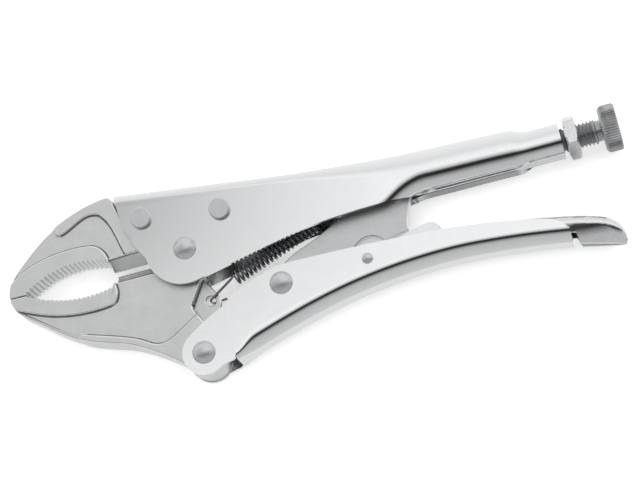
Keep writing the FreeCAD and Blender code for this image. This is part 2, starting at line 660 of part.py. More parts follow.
# ---------------------------------------------------------------- adjusting screw
def make_adjusting_screw():
    """The threaded rod from its flat tip in the channel to the spigot in the knob."""
    body = new_body("adjusting_screw")
    tip = size("link_nose_x") + size("nose_radius") + size("nose_gap")
    radius, neck, spigot = size("screw_radius"), size("neck_radius"), size("spigot_radius")
    none, thread_end, knob = Size.of(0), size("thread_end_x"), size("knob_start_x")
    end = knob + size("knob_length") - 1.0
    draw_profile(new_sketch(body),
                 [(tip, none), (end, none), (end, spigot), (knob - size("face_play"), spigot),
                  (knob - size("face_play"), neck), (thread_end, neck),
                  (thread_end - 0.8, radius), (tip + 1.2, radius), (tip, radius - 1.2)])
    turn(body, body.Group[0], "H_Axis")
    body.Placement.Base = V(0, number("screw_axis_y"), 0)
    return body


def make_knurled_knob():
    """The knob: a chamfered drum with a blind bore for the screw's spigot."""
    body = new_body("knurled_knob")
    start, length, radius = size("knob_start_x"), size("knob_length"), size("knob_radius")
    end, bevel, none = start + length, size("knob_chamfer"), Size.of(0)
    bore, floor = size("spigot_radius") + size("pin_play"), end - 1.0 + size("face_play")
    draw_profile(new_sketch(body),
                 [(start, bore), (start, radius - bevel), (start + bevel, radius),
                  (end - bevel, radius), (end, radius - bevel), (end, none), (floor, none),
                  (floor, bore)])
    turn(body, body.Group[0], "H_Axis")
    body.Placement.Base = V(0, number("screw_axis_y"), 0)
    return body


def make_lock_nut():
    """A thin hexagon nut with chamfered corners, free on the thread."""
    body = new_body("lock_nut")
    start, length, flats = size("nut_start_x"), size("nut_length"), size("nut_flats")
    bore, corner, bevel = size("screw_radius") + size("thread_play"), flats * 0.5774, 0.6
    end = start + length
    draw_profile(new_sketch(body),
                 [(start, bore), (start, flats * 0.49), (start + bevel, corner),
                  (end - bevel, corner), (end, flats * 0.49), (end, bore)])
    turn(body, body.Group[0], "H_Axis")
    hexagon = new_sketch(body, "YZ_Plane", start - 1.0)
    draw_circle(hexagon, (0, 0), corner + 2.0)
    reach = corner.number
    corners = [(reach * math.sin(math.radians(a)), reach * math.cos(math.radians(a)))
               for a in range(-5, 355, 60)]
    draw(hexagon, corners[0], *[("line", corner) for corner in corners[1:]])
    cut = body.newObject("PartDesign::Pocket", "flats")
    cut.Profile = hexagon
    cut.Reversed = True
    cut.setExpression("Length", (length + 2.0).text)
    body.Placement.Base = V(0, number("screw_axis_y"), 0)
    return body


# ---------------------------------------------------------------- spring
def rod(places, radius):
    """A bent wire: straight runs with round corners."""
    parts = []
    for a, b in zip(places, places[1:]):
        parts.append(Part.makeCylinder(radius, (b - a).Length, a, b - a))
        parts.append(Part.makeSphere(radius, b))
    return parts[0].fuse(parts[1:])


def make_jaw_spring():
    """The opening spring: a close coil with a hook in the jaw's lug and one in the anchor."""
    wire, coil = number("wire_radius"), number("coil_radius")
    hook_z = number("lug_thickness") / 2 + wire + 0.25
    start, end = V(15.7, -14.4, 0), V(51.7, -1.7, 0)
    along = (end - start).normalize()
    length = (end - start).Length
    shell = Part.makeCylinder(coil, length, start, along).cut(
        Part.makeCylinder(coil - 2 * wire, length, start, along))
    cap = wire * 2
    ends = [Part.makeCylinder(coil - wire, cap, start, along),
            Part.makeCylinder(coil - wire, cap, end - along * cap, along)]
    hole = LUG_HOLE
    front = rod([start + V(0.4, 0.2, hook_z), hole + V(0, 0, hook_z), hole - V(0, 0, hook_z),
                 hole + V(6.0, 0.6, -hook_z)], wire)
    anchor = V(number("anchor_x"), number("anchor_hole_y"), 0)
    rear = rod([end - along, anchor - V(1.0, 0.1, 0), anchor + V(number("sheet_gauge") + 1.0, 0, 0),
                anchor + V(number("sheet_gauge") + 1.6, 3.0, 0)], wire)
    return shell.fuse(ends + [front, rear]).removeSplitter()


# ---------------------------------------------------------------- assembly
def shaped(label, shape):
    """A plain Part::Feature for a shape made with Part's functions."""
    feature = doc.addObject("Part::Feature", label)
    feature.Label = label
    feature.Shape = shape
    return feature


def make_all():
    pivot, head, dome = size("pivot_shank"), size("pivot_head"), size("dome_height")
    return [
        shaped("upper_handle", make_upper_handle()),
        make_upper_jaw(),
        make_flat_rivet("upper_jaw_rivet_front", FRONT_RIVET),
        make_flat_rivet("upper_jaw_rivet_rear", REAR_RIVET),
        make_domed_rivet("jaw_pivot_rivet", JAW_PIVOT, pivot, head, dome),
        make_lower_jaw(),
        make_lower_handle(),
        make_domed_rivet("handle_pivot_rivet", HANDLE_PIVOT, pivot, head, dome),
        make_domed_rivet("link_rivet", LINK_PIVOT, pivot, head, dome),
        make_domed_rivet("release_lever_rivet", LEVER_PIVOT, size("lever_shank"),
                         size("lever_head"), size("lever_dome")),
        make_toggle_link(),
        make_release_lever(),
        make_adjusting_screw(),
        make_knurled_knob(),
        make_lock_nut(),
        shaped("jaw_spring", make_jaw_spring()),
    ]


pieces = make_all()
doc.recompute()

box = FreeCAD.BoundBox()
for piece in pieces:
    box.add(piece.Shape.BoundBox)
shift = V(-(box.XMin + box.XMax) / 2, -(box.YMin + box.YMax) / 2, -box.ZMin)
for piece in pieces:
    piece.Placement.Base = piece.Placement.Base + shift
doc.recompute()

for item in doc.Objects:
    if "Invalid" in item.State or "Error" in item.State:
        raise RuntimeError("%s failed: %s" % (item.Label, item.State))
os.makedirs("parts", exist_ok=True)
for piece in pieces:
    if piece.Shape.isNull() or not piece.Shape.isValid():
        raise RuntimeError("%s has no valid shape" % piece.Label)
for piece in pieces:
    piece.Shape.exportStep("parts/%s.step" % piece.Label)
print("jaw pivot in the part's frame: %.3f %.3f %.3f" % tuple(shift))
print("overall size: %.2f x %.2f x %.2f" % (box.XLength, box.YLength, box.ZLength))
for piece in pieces:
    print("%-22s solids %d volume %.0f" % (piece.Label, len(piece.Shape.Solids), piece.Shape.Volume))
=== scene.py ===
import math

import bmesh
import bpy
from mathutils import Matrix, Vector


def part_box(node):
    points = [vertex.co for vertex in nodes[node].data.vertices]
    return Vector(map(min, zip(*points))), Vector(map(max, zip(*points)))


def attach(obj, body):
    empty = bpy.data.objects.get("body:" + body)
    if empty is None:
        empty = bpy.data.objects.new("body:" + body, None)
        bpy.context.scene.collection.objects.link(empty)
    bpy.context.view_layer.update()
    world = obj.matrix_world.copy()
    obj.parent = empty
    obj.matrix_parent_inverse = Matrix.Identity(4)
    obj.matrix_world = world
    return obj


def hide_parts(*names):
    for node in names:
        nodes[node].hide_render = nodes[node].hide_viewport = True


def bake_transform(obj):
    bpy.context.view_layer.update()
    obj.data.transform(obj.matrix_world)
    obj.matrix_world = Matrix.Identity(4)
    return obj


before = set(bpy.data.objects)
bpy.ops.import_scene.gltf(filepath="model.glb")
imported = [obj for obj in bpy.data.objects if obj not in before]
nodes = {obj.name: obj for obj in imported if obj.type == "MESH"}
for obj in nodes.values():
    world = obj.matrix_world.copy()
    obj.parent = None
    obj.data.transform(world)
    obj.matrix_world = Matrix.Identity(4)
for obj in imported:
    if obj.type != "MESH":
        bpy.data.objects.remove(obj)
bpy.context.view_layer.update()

MM = 0.001


# ------------------------------------------------------------ places and sizes
def middle(node):
    """The centre of a CAD node's box at rest, in metres."""
    low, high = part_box(node)
    return (low + high) / 2


JAW_PIVOT = middle("jaw_pivot_rivet")


def place(x, y, z=0.0):
    """A point given in millimetres from the jaw pivot, in the row frame."""
    return JAW_PIVOT + Vector((x, y, z)) * MM


# ------------------------------------------------------------ node and colour helpers
def linear(hex_colour):
    """An sRGB hex colour as the linear numbers that the shaders take, opaque."""
    channels = [int(hex_colour[i:i + 2], 16) / 255 for i in (1, 3, 5)]
    return [c / 12.92 if c <= 0.04045 else ((c + 0.055) / 1.055) ** 2.4
            for c in channels] + [1.0]


def add(tree, kind, sockets=None, stops=None, **settings):
    """Adds a shader node: settings by name, sockets by name or number, ramp stops."""
    node = tree.nodes.new("ShaderNode" + kind)
    for name, value in settings.items():
        setattr(node, name, value)
    for name, value in (sockets or {}).items():
        if isinstance(value, bpy.types.NodeSocket):
            tree.links.new(value, node.inputs[name])
        else:
            node.inputs[name].default_value = value
    if stops:
        ramp = node.color_ramp
        while len(ramp.elements) < len(stops):
            ramp.elements.new(0.5)
        for element, (position, colour) in zip(ramp.elements, stops):
            element.position = position
            element.color = linear(colour) if isinstance(colour, str) else [colour] * 3 + [1]
    return node


DRIFT_SIZE, WAVE_SIZE = 6.0, 12.0


def steel(name, light, dark, smooth, rough, grain, depth, stretch=(1, 1, 1), wave=0.0):
    """A steel finish: tone and roughness drift over DRIFT_SIZE mm, fine relief on top.

    light and dark are its tones, and smooth and rough its roughness at its glossiest and
    its dullest; grain is the relief's grain in mm and depth its height in mm; stretch draws
    the grain out along an axis; wave is the height in mm of the sheet's slow unevenness over
    WAVE_SIZE mm.
    """
    material = bpy.data.materials.new(name)
    material.use_nodes = True
    tree = material.node_tree
    tree.nodes.clear()
    spot = add(tree, "TexCoord").outputs["Object"]
    drift = add(tree, "TexNoise", {"Vector": spot, "Scale": 1 / (DRIFT_SIZE * MM),
                                   "Detail": 5.0})
    drawn = add(tree, "Mapping", {"Vector": spot, "Scale": stretch})
    fine = add(tree, "TexNoise", {"Vector": drawn.outputs[0], "Scale": 1 / (grain * MM),
                                  "Detail": 4.0, "Roughness": 0.6})
    faint = add(tree, "MapRange", {"Value": drift.outputs[0], "To Min": 0.3, "To Max": 0.7})
    mixed = add(tree, "Math", {0: faint.outputs[0], 1: fine.outputs[0]}, operation="ADD")
    tone = add(tree, "ValToRGB", {"Fac": add(tree, "Math", {0: mixed.outputs[0], 1: 0.5},
                                             operation="MULTIPLY").outputs[0]},
               stops=[(0.38, dark), (0.6, light)])
    # The two noises added together run from about 0.7 to 1.3.
    gloss = add(tree, "MapRange", {"Value": mixed.outputs[0], "From Min": 0.7, "From Max": 1.3,
                                   "To Min": rough, "To Max": smooth})
    relief = add(tree, "Bump", {"Height": fine.outputs[0], "Distance": depth * MM,
                                "Strength": 1.0})
    if wave:
        slow = add(tree, "TexNoise", {"Vector": spot, "Scale": 1 / (WAVE_SIZE * MM),
                                      "Detail": 1.0})
        relief = add(tree, "Bump", {"Height": slow.outputs[0], "Distance": wave * MM,
                                    "Strength": 1.0, "Normal": relief.outputs[0]})
    surface = add(tree, "BsdfPrincipled", {
        "Base Color": tone.outputs[0], "Metallic": 1.0, "Roughness": gloss.outputs[0],
        "Normal": relief.outputs[0]})
    add(tree, "OutputMaterial", {"Surface": surface.outputs[0]})
    return material


# ------------------------------------------------------------ finishes
# Polishing lines, blast pits and drawing marks are under 0.1 mm wide on such parts, too fine
# to show, so every grain below is drawn 0.2 to 0.5 mm wide.
FINISHES = {
    # Nickel-chrome plate on low-carbon steel strip that was pressed and polished first. It
    # mirrors the room almost cleanly; faint polishing lines run along it, and the pressed
    # sheet's slow waves bend what it mirrors.
    "plated_handle": steel("polished_nickel_chrome_plate", light="#EFF0F1", dark="#EAEBEC",
                           smooth=0.11, rough=0.15, grain=0.25, depth=0.0002,
                           stretch=(0.15, 1, 1), wave=0.004),
    # Chrome-vanadium steel, drop forged, tumbled and satin nickel plated. Die and barrel
    # leave a finely pitted skin, which spreads each highlight to an even, slightly mottled
    # grey.
    "forged_jaw": steel("satin_forged_chrome_vanadium", light="#ECEDED", dark="#D9DADA",
                        smooth=0.34, rough=0.42, grain=0.35, depth=0.05),
    # Mild steel wire, cold headed in a die and then set by blows. The head is matter and
    # darker than the plating round it, with a shallow uneven skin.
    "rivet_steel": steel("cold_headed_rivet_steel", light="#E4E5E6", dark="#D3D4D6",
                         smooth=0.4, rough=0.5, grain=0.35, depth=0.012),
    # Medium-carbon steel, forged flat and satin plated as the jaws are. Smoother than they
    # are, so its broad face reads as one soft grey.
    "forged_link": steel("satin_forged_link_steel", light="#E2E3E4", dark="#D2D3D4",
                         smooth=0.34, rough=0.42, grain=0.35, depth=0.02),
    # Steel strip, pressed and bright plated without the handles' polishing. It shines like
    # them, with blurred and slightly uneven reflections along the grain.
    "plated_lever": steel("bright_plated_pressing", light="#EDEEEF", dark="#DDDEE0",
                          smooth=0.13, rough=0.22, grain=0.25, depth=0.0006,
                          stretch=(0.2, 1, 1), wave=0.004),
    # Medium-carbon steel rod, thread rolled, then zinc plated. The zinc dulls to a mid grey,
    # and only the rolled crests stay bright.
    "screw_steel": steel("zinc_plated_rolled_thread", light="#BDBEC0", dark="#9FA0A2",
                         smooth=0.3, rough=0.4, grain=0.3, depth=0.004),
    # Free-cutting steel, turned, knurled and nickel plated. The plate is warmer and glossier
    # than the screw's zinc, so each ridge carries a thin highlight.
    "knob_steel": steel("nickel_plated_knurled_steel", light="#C6C7C8", dark="#A9AAAC",
                        smooth=0.24, rough=0.34, grain=0.3, depth=0.003),
    # Mild steel hexagon bar, turned off and bright zinc plated. Its flats are nearly white
    # and mirror softly, each a different tone.
    "nut_steel": steel("bright_zinc_plated_nut", light="#E8E9EA", dark="#CFD0D2",
                       smooth=0.14, rough=0.25, grain=0.3, depth=0.002),
    # High-carbon spring wire, heat treated and drawn, then coiled bare. The drawn skin is a
    # dark blue-grey with a narrow bright line along each turn.
    "spring_wire": steel("patented_spring_wire", light="#A2A3A7", dark="#74757A",
                         smooth=0.26, rough=0.36, grain=0.2, depth=0.002),
}
# The same forgings' outer edges, which the tumbling barrel burnishes smoother; their tone is
# lifted to nearly white as a painted highlight, a thin bright line round each form.
BURNISHED_EDGE_PAINTED_HIGHLIGHT = steel("burnished_forging_edge", light="#FDFDFD", dark="#F2F2F2", smooth=0.2,
                    rough=0.3, grain=0.5, depth=0.004)
# The forgings' inner corners, out of the barrel's reach and rougher, are painted dark grey as
# painted shade: a dull grey line along each crease.
PAINTED_CORNER_SHADE = steel("scaled_forging_corner", light="#9A9B9B", dark="#6F7070", smooth=0.5,
                      rough=0.65, grain=0.4, depth=0.02)
for node in nodes.values():
    slot = node.data.materials[0].name.split(".")[0]
    for i in range(len(node.data.materials)):
        node.data.materials[i] = FINISHES[slot]


# ------------------------------------------------------------ mesh helpers
def link_piece(name, mesh, slot, body, *stands_for):
    """Puts a mesh in the scene as a piece of one body that stands for CAD nodes."""
    mesh.materials.append(FINISHES[slot])
    piece = bpy.data.objects.new(name, mesh)
    bpy.context.scene.collection.objects.link(piece)
    if body:
        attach(piece, body)
    if stands_for:
        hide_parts(*stands_for)
    return piece


def flatten_shading(piece):
    """Keeps broad faces flat and lets only the rounded edges turn the light."""
    normals = piece.modifiers.new("flats", "WEIGHTED_NORMAL")
    normals.mode, normals.weight, normals.keep_sharp = "FACE_AREA", 100, True


def mesh_of(name, shape, crease=40):
    """Ends a bmesh as a mesh, shaded smooth up to the crease angle in degrees."""
    bmesh.ops.recalc_face_normals(shape, faces=shape.faces)
    for face in shape.faces:
        face.smooth = True
    for edge in shape.edges:
        if len(edge.link_faces) == 2 and edge.calc_face_angle(0) > math.radians(crease):
            edge.smooth = False
    mesh = bpy.data.meshes.new(name)
    shape.to_mesh(mesh)
    shape.free()
    return mesh


def tube(name, path, radius, sides=10):
    """A round wire along a path of points, with closed ends."""
    shape = bmesh.new()
    rings, across = [], None
    for i, spot in enumerate(path):
        along = (path[min(i + 1, len(path) - 1)] - path[max(i - 1, 0)]).normalized()
        if across is None:
            across = along.orthogonal().normalized()
        across = (across - along * across.dot(along)).normalized()
        other = along.cross(across)
        rings.append([shape.verts.new(spot + radius * (
            across * math.cos(2 * math.pi * k / sides)
            + other * math.sin(2 * math.pi * k / sides))) for k in range(sides)])
    for low, high in zip(rings, rings[1:]):
        for k in range(sides):
            shape.faces.new((low[k - 1], low[k], high[k], high[k - 1]))
    shape.faces.new(rings[0])
    shape.faces.new(rings[-1])
    return mesh_of(name, shape, 60)


def rounded(corners, radius, steps=5):
    """A path through straight runs whose inner corners are eased over the radius."""
    path = [corners[0]]
    for before, corner, after in zip(corners, corners[1:], corners[2:]):
        enter = corner + (before - corner).normalized() * radius
        leave = corner + (after - corner).normalized() * radius
        for i in range(steps + 1):
            t = i / steps
            path.append(enter * (1 - t) ** 2 + corner * 2 * t * (1 - t) + leave * t ** 2)
    return path + [corners[-1]]


def turned(name, origin, rings, around, radius_at, crease=40):
    """A piece turned about +X from origin: rings of (x, r) in mm, with r finished by
    radius_at(x, r, angle).  A ring of radius 0 closes an end."""
    shape = bmesh.new()
    rows = []
    for x, r in rings:
        if r == 0:
            rows.append([shape.verts.new(origin + Vector((x, 0, 0)) * MM)])
            continue
        row = []
        for k in range(around):
            angle = 2 * math.pi * k / around
            reach = radius_at(x, r, angle)
            row.append(shape.verts.new(origin + Vector(
                (x, reach * math.cos(angle), reach * math.sin(angle))) * MM))
        rows.append(row)
    for low, high in zip(rows, rows[1:]):
        for k in range(around):
            before = [low[k - 1], low[k]] if len(low) > 1 else low
            after = [high[k], high[k - 1]] if len(high) > 1 else high
            shape.faces.new(before + after)
    return mesh_of(name, shape, crease)


def circle_through(a, b, c):
    """Centre and radius of the circle through three points of the plane."""
    turn = 2 * (a[0] * (b[1] - c[1]) + b[0] * (c[1] - a[1]) + c[0] * (a[1] - b[1]))
    squares = [p[0] ** 2 + p[1] ** 2 for p in (a, b, c)]
    x = (squares[0] * (b[1] - c[1]) + squares[1] * (c[1] - a[1])
         + squares[2] * (a[1] - b[1])) / turn
    y = (squares[0] * (c[0] - b[0]) + squares[1] * (a[0] - c[0])
         + squares[2] * (b[0] - a[0])) / turn
    return x, y, math.hypot(a[0] - x, a[1] - y)


# The two bites, each an arc through three points in mm from the jaw pivot.
BITES = (circle_through((-66.2, -0.9), (-47.5, 5.9), (-31.4, 3.8)),
         circle_through((-66.2, -1.3), (-47.0, -7.6), (-31.4, -6.6)))
BITE_FRONT, BITE_BACK, TOOTH_BAND = -67.0, -30.9, 1.0


def on_teeth(spot):
    """Whether a point lies among the cut teeth, which keep their crisp edges."""
    x, y = (spot.x - JAW_PIVOT.x) / MM, (spot.y - JAW_PIVOT.y) / MM
    return BITE_FRONT < x < BITE_BACK and any(
        abs(math.hypot(x - cx, y - cy) - radius) < TOOTH_BAND for cx, cy, radius in BITES)


WELD_DISTANCE, FLAT_ANGLE, SHARP_ANGLE = 0.002, 0.8, 28.0
# Material slots of the softened forgings: 1 is the painted highlight on outer edges, 2 the
# painted shade in inner corners.
OUTER_EDGE, INNER_CORNER = 1, 2


def cleaned(node):
    """A CAD node's mesh with its seams welded and its flat faces made whole."""
    shape = bmesh.new()
    shape.from_mesh(nodes[node].data)
    bmesh.ops.remove_doubles(shape, verts=shape.verts, dist=WELD_DISTANCE * MM)
    bmesh.ops.dissolve_limit(shape, angle_limit=math.radians(FLAT_ANGLE),
                             verts=shape.verts, edges=shape.edges)
    return shape


def softened(node, edge_mm):
    """A copy of a CAD node's mesh with its sharp edges rounded over, as tumbling does."""
    shape = cleaned(node)
    # Convex edges get the painted highlight material, concave corners the painted shade
    # material.
    for finish, outward in ((OUTER_EDGE, True), (INNER_CORNER, False)):
        edges = [e for e in shape.edges if len(e.link_faces) == 2
                 and e.calc_face_angle(0) > math.radians(SHARP_ANGLE)
                 and e.is_convex == outward
                 and all(f.material_index == 0 for f in e.link_faces)
                 and not all(on_teeth(v.co) for v in e.verts)]
        bmesh.ops.bevel(shape, geom=edges, offset=edge_mm * MM, offset_type="OFFSET",
                        segments=3, profile=0.5, affect="EDGES", clamp_overlap=False,
                        material=finish)
    return mesh_of(node + "_softened", shape, 40)


# ------------------------------------------------------------ pressed handles
# Sizes in mm; outlines are (x, y) or (y, x) points from the jaw pivot, taken along one of
# the two, and each *_FROM and *_RUN is where a change along x starts and how long it takes.
GAUGE, HALF_WIDTH, EDGE_ROUND = 2.0, 10.0, 0.5
INSIDE_HANDLES = (70.0, -8.0)

LOWER_FROM, LOWER_TO, LOWER_STATIONS = 10.2, 147.6, 112
LOWER_BACK = [(4.0, -50.2), (13.2, -47.2), (29.2, -42.2), (44.2, -38.1), (59.2, -34.9),
              (74.2, -32.8), (89.2, -31.7), (104.2, -31.6), (119.2, -32.7),
              (134.2, -34.5), (152.0, -37.4)]
LOWER_TOP = [(10.2, -26.1), (13.0, -24.3), (19.6, -20.6), (26.6, -18.2), (34.6, -16.5),
             (50.0, -16.6), (65.6, -17.2), (80.6, -18.0), (95.6, -19.0), (110.6, -20.6),
             (125.6, -23.0), (140.6, -26.3)]
LOWER_END = [(-60.0, 147.6), (-38.4, 147.6), (-37.0, 148.2), (-35.5, 148.4),
             (-32.0, 147.4), (-28.6, 144.8), (-26.3, 140.6)]
LOWER_BEND, LOWER_BEND_GAIN, LOWER_BEND_RUN = 2.2, 3.3, 9.0
END_CURVE_FROM, END_STEPS = 96.0, 12
WALL_POINTS = 15
EAR_CENTRE, EAR_RADIUS, EAR_STEPS = (-1.8, -42.5), 8.7, 40
EAR_TURN = (-49.0, -237.0)
EAR_BELOW = [(10.0, -47.0), (9.4, -47.8), (8.6, -48.2), (7.2, -48.4), (5.6, -48.8)]
EAR_ABOVE = [(0.3, -30.9), (6.0, -28.0)]

UPPER_FROM = -23.4
UPPER_FRONT = [(0.0, -15.9), (7.0, -19.6), (18.0, -22.5), (24.9, -23.1), (28.9, -23.4)]
UPPER_EDGE = [(1.72, -13.68), (46.0, -4.9), (58.0, -3.6), (70.0, -3.0), (84.0, -2.7),
              (154.0, -2.7)]
UPPER_BACK = [(-5.0, 26.3), (20.0, 22.8), (45.0, 19.3), (70.0, 17.35), (95.0, 16.1),
              (115.0, 15.25), (134.7, 14.4), (150.0, 13.7)]
UPPER_STATIONS = ((UPPER_FROM, 58.0, 56), (58.0, 76.0, 18), (76.0, 102.0, 36),
                  (102.0, 132.0, 18), (132.0, 143.0, 18), (143.0, 153.2, 6))
BACK_TOP, BACK_SLOPE, BACK_STRAIGHT_TO = 28.9, 0.1404, 20.0
NOSE_X, NOSE_Y, NOSE_RADIUS = -1.0, 1.0, 14.93
SLANT_RUN, SLANT_CREEP = 48.0, 6
UPPER_BEND, BEND_FROM, BEND_RUN = 4.0, 38.0, 60.0
CURL_FROM, CURL_RUN, CURL_SQUEEZE = 74.0, 24.0, 0.3
TUBE_FROM, TUBE_RUN = 92.0, 8.0
WAIST_FROM, WAIST_RUN, WAIST_SQUEEZE = 95.0, 40.0, 0.5
NECK_FROM, NECK_RUN = 133.0, 8.0
TAIL_TOP_Y, TAIL_RADIUS, TUBE_SLOT, TAIL_SLOT = 12.2, 7.2, 4.25, 0.2
TAB_X, TAB_HALF, TAB_ROOT, TAB_END, TAB_HOLE_Y, TAB_HOLE = 62.0, 2.5, 17.0, -1.1, 1.9, 1.2
TAB_SIDES, WINDOW_TO, WINDOW_ABOVE = 32, 75.9, 15.0


def ease(t):
    """A smooth step from 0 to 1."""
    t = min(max(t, 0.0), 1.0)
    return t * t * (3 - 2 * t)


def along_curve(points, x):
    """The smooth curve through points, read at x."""
    i = max(1, min(len(points) - 1, sum(1 for p in points if p[0] <= x)))
    (x0, y0), (x1, y1) = points[i - 1], points[i]
    before = points[i - 2] if i > 1 else (2 * x0 - x1, 2 * y0 - y1)
    after = points[i + 1] if i + 1 < len(points) else (2 * x1 - x0, 2 * y1 - y0)
    t, span = min(max((x - x0) / (x1 - x0), 0.0), 1.0), x1 - x0
    start = (y1 - before[1]) / (x1 - before[0]) * span
    end = (after[1] - y0) / (after[0] - x0) * span
    return ((2 * t ** 3 - 3 * t * t + 1) * y0 + (t ** 3 - 2 * t * t + t) * start
            + (3 * t * t - 2 * t ** 3) * y1 + (t ** 3 - t * t) * end)


def straight(points, x):
    """The broken line through points, read at x."""
    i = max(1, min(len(points) - 1, sum(1 for p in points if p[0] <= x)))
    (x0, y0), (x1, y1) = points[i - 1], points[i]
    return y0 + (y1 - y0) * (x - x0) / (x1 - x0)


def upper_front_edge(y):
    """Where the upper handle's front edge lies at height y, round its nose."""
    if y > 0:
        return along_curve(UPPER_FRONT, y)
    reach = max(NOSE_RADIUS ** 2 - (y - NOSE_Y) ** 2, 0.0)
    return NOSE_X - math.sqrt(reach)


def upper_bottom(x):
    """The upper handle's lower edge: the nose's arc, then a gently bent line."""
    if x < UPPER_EDGE[0][0]:
        return NOSE_Y - math.sqrt(NOSE_RADIUS ** 2 - (x - NOSE_X) ** 2)
    return straight(UPPER_EDGE, x)


# How many steps a half section has in its wall, round its bend and across its back.
WALL_STEPS, UPPER_BEND_STEPS, LOWER_BEND_STEPS, BACK_STEPS = 36, 14, 18, 5


def upper_column(x):
    """Half a section of the upper handle: a channel in front, a tube behind it and the
    swaged tail, from its lower edge to the middle of its back, as (x, y, z)."""
    taper = BACK_TOP - BACK_SLOPE * (x - UPPER_FROM)
    neck = ease((x - NECK_FROM) / NECK_RUN)
    curl = ease((x - CURL_FROM) / CURL_RUN)
    top = taper if x < BACK_STRAIGHT_TO else along_curve(UPPER_BACK, x)
    top = top * (1 - neck) + TAIL_TOP_Y * neck
    half = (HALF_WIDTH - CURL_SQUEEZE * curl
            - WAIST_SQUEEZE * ease((x - WAIST_FROM) / WAIST_RUN))
    half = half * (1 - neck) + TAIL_RADIUS * neck
    bend = UPPER_BEND + (half - 0.05 - UPPER_BEND) * ease((x - BEND_FROM) / BEND_RUN)
    slot_half = TUBE_SLOT * (1 - neck) + TAIL_SLOT * neck
    sweep = math.acos(slot_half / half) * curl
    # Near the front a section leans, to follow the slanted front edge and the round nose.
    pull = max(0.0, 1 - (x - UPPER_FROM) / SLANT_RUN) ** 2
    foot = x + pull * (NOSE_X - UPPER_FROM)
    low = upper_bottom(foot)
    slide = foot - x - pull * (upper_front_edge(low) - UPPER_FROM)

    def swept(y):
        share = ((top - y) / (top - low)) ** SLANT_CREEP
        return x + pull * (upper_front_edge(y) - UPPER_FROM) + slide * share
    centre = low + half * math.sin(sweep)
    closing = ease((x - TUBE_FROM) / TUBE_RUN)
    centre = centre * (1 - closing) + (top - half - 0.02) * closing
    arc, wall = half * sweep, max(top - bend - centre, 0.05)
    rows = []
    for k in range(WALL_STEPS + 1):
        run = (arc + wall) * (1 - math.cos(math.pi / 2 * k / WALL_STEPS))
        if run < arc:
            turn = run / half - sweep
            y, z = centre + half * math.sin(turn), half * math.cos(turn)
        else:
            y, z = centre + run - arc, half
        rows.append((swept(y), y, z))
    for k in range(1, UPPER_BEND_STEPS + 1):
        turn = math.pi / 2 * k / UPPER_BEND_STEPS
        rows.append((x, top - bend + bend * math.sin(turn), half - bend
                     + bend * math.cos(turn)))
    for k in range(1, BACK_STEPS + 1):
        rows.append((x, top, (half - bend) * (1 - k / BACK_STEPS)))
    return rows


def lower_column(x):
    """Half a section of the lower handle: an open channel with rounded back corners."""
    bend = LOWER_BEND + LOWER_BEND_GAIN * ease((x - LOWER_FROM) / LOWER_BEND_RUN)
    back = along_curve(LOWER_BACK, x)
    pull = max(0.0, (x - END_CURVE_FROM) / (LOWER_TO - END_CURVE_FROM)) ** 2
    # The rounded end moves the section's top along x, and its height follows from there.
    last_x, top = LOWER_TOP[-1]
    for _ in range(END_STEPS):
        shift = pull * (along_curve(LOWER_END, top) - LOWER_TO)
        top = along_curve(LOWER_TOP, min(x + shift, last_x))
    rows = []
    for k in range(WALL_POINTS):
        y = top + (back + bend - top) * k / (WALL_POINTS - 1)
        rows.append((x + pull * (along_curve(LOWER_END, y) - LOWER_TO), y, HALF_WIDTH))
    for k in range(1, LOWER_BEND_STEPS + 1):
        turn = math.pi / 2 * k / LOWER_BEND_STEPS
        rows.append((x, back + bend - bend * math.sin(turn),
                     HALF_WIDTH - bend + bend * math.cos(turn)))
    for k in range(1, BACK_STEPS + 1):
        rows.append((x, back, (HALF_WIDTH - bend) * (1 - k / BACK_STEPS)))
    return rows


def pressed_sheet(name, column, stations, window=None, ear=None):
    """The outer skin of a pressing, from half sections at its stations.  window says which
    faces are cut away, and ear is the outline of a flat ear in front of each side wall."""
    shape = bmesh.new()
    grid = []
    for x in stations:
        half = column(x)
        both = half + [(px, py, -pz) for px, py, pz in reversed(half[:-1])]
        grid.append([shape.verts.new(place(*p)) for p in both])
    for low, high in zip(grid, grid[1:]):
        for k in range(len(low) - 1):
            if window and window(low[k].co, high[k + 1].co):
                continue
            shape.faces.new((low[k], high[k], high[k + 1], low[k + 1]))
    if ear:
        for side, rim in ((1, grid[0][:WALL_POINTS]), (-1, grid[0][:-WALL_POINTS - 1:-1])):
            corners = rim + [shape.verts.new(place(px, py, side * HALF_WIDTH))
                             for px, py in ear]
            shape.faces.new(corners if side > 0 else corners[::-1])
    bmesh.ops.recalc_face_normals(shape, faces=shape.faces)
    inside = place(*INSIDE_HANDLES)
    outward = sum(f.normal.dot(f.calc_center_median() - inside) for f in shape.faces)
    if outward < 0:
        bmesh.ops.reverse_faces(shape, faces=shape.faces)
    for face in shape.faces:
        face.smooth = True
    mesh = bpy.data.meshes.new(name)
    shape.to_mesh(mesh)
    shape.free()
    return mesh


